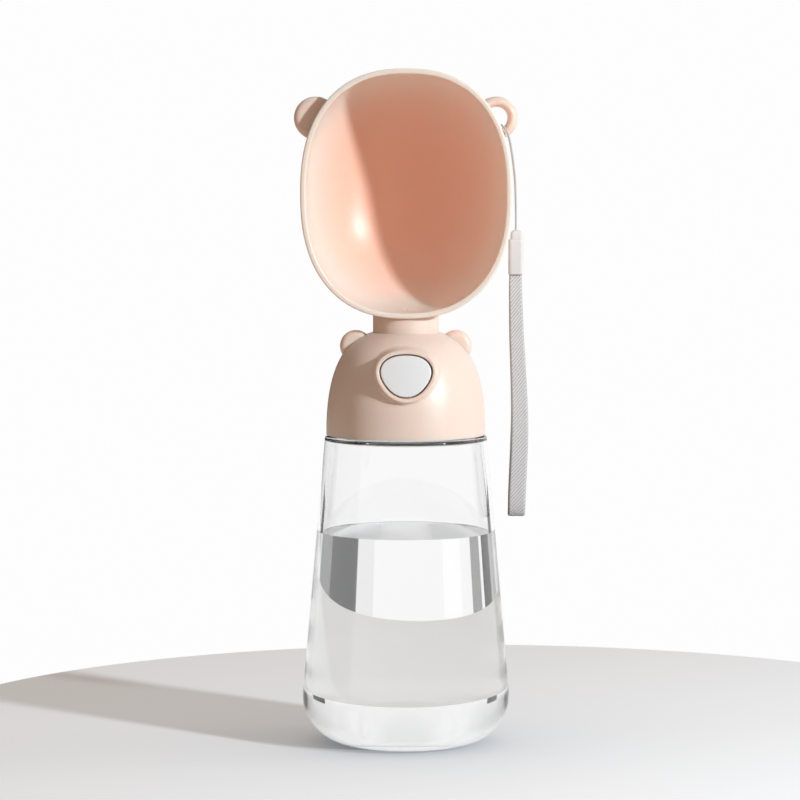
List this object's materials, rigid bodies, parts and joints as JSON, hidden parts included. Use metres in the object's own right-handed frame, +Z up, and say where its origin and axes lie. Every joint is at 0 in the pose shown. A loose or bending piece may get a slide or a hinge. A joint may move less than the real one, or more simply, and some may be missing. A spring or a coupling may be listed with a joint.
{
  "type": "dog travel water bottle",
  "caption": "Clear tapered water bottle with a screw cap, a nose-shaped pour button and valve, a lift-off drinking bowl and a wrist lanyard.",
  "frame": {"origin": "under the middle of the bottle's base, on the surface it stands on", "axes": "+Z up along the bottle, -Y the front that the bowl and the nose button face, +X the side that the lanyard hangs on"},
  "size_m": [0.0862, 0.0768, 0.2501],
  "materials": {
    "clear_plastic": "gloss",
    "pink_plastic": "satin",
    "white_plastic": "satin",
    "button_plastic": "satin",
    "silicone": "matte",
    "stainless": "satin",
    "cord": "matte",
    "webbing": "matte"
  },
  "bodies": {
    "bottle_body": {"bottle": "clear_plastic"},
    "seal_body": {"bottle_seal": "silicone"},
    "cap_body": {"thread_insert": "white_plastic", "dome_shell": "pink_plastic", "inlet_seal": "silicone", "valve_body": "white_plastic", "valve_screws": "stainless", "valve_plug": "white_plastic", "plug_o_ring": "silicone", "stem_o_ring": "silicone", "valve_spring": "stainless", "riser_o_ring": "silicone"},
    "button_body": {"nose_button": "button_plastic", "valve_stem": "stainless", "poppet_seal": "silicone", "stem_clip": "stainless"},
    "bowl_body": {"bowl": "pink_plastic", "neck_o_ring": "silicone"},
    "lanyard_body": {"lanyard_cord": "cord", "lanyard_crimp": "white_plastic", "lanyard_strap": "webbing"}
  },
  "joints": [
    {"name": "cap_rise", "type": "slide", "parent": "bottle_body", "child": "seal_body", "axis": [0, 0, 1], "range_m": [0, 0.004]},
    {"name": "cap_turn", "type": "hinge", "parent": "seal_body", "child": "cap_body", "pos_m": [0, 0, 0.12], "axis": [0, 0, 1], "range_deg": [0, 360]},
    {"name": "button_press", "type": "slide", "parent": "cap_body", "child": "button_body", "axis": [0, 1, 0], "range_m": [0, 0.0025], "stiffness_N_per_m": 600, "springref_m": -0.002, "deforming": ["valve_spring"]},
    {"name": "bowl_lift", "type": "slide", "parent": "cap_body", "child": "bowl_body", "axis": [0, 0, 1], "range_m": [0, 0.014]},
    {"name": "lanyard_swing", "type": "hinge", "parent": "bowl_body", "child": "lanyard_body", "pos_m": [0.0332, -0.0027, 0.232], "axis": [0, -1, 0], "range_deg": [0, 75]}
  ],
  "couplings": [
    {"joint": "cap_rise", "follows": "cap_turn", "m_per_rad": 0.00063662}
  ]
}
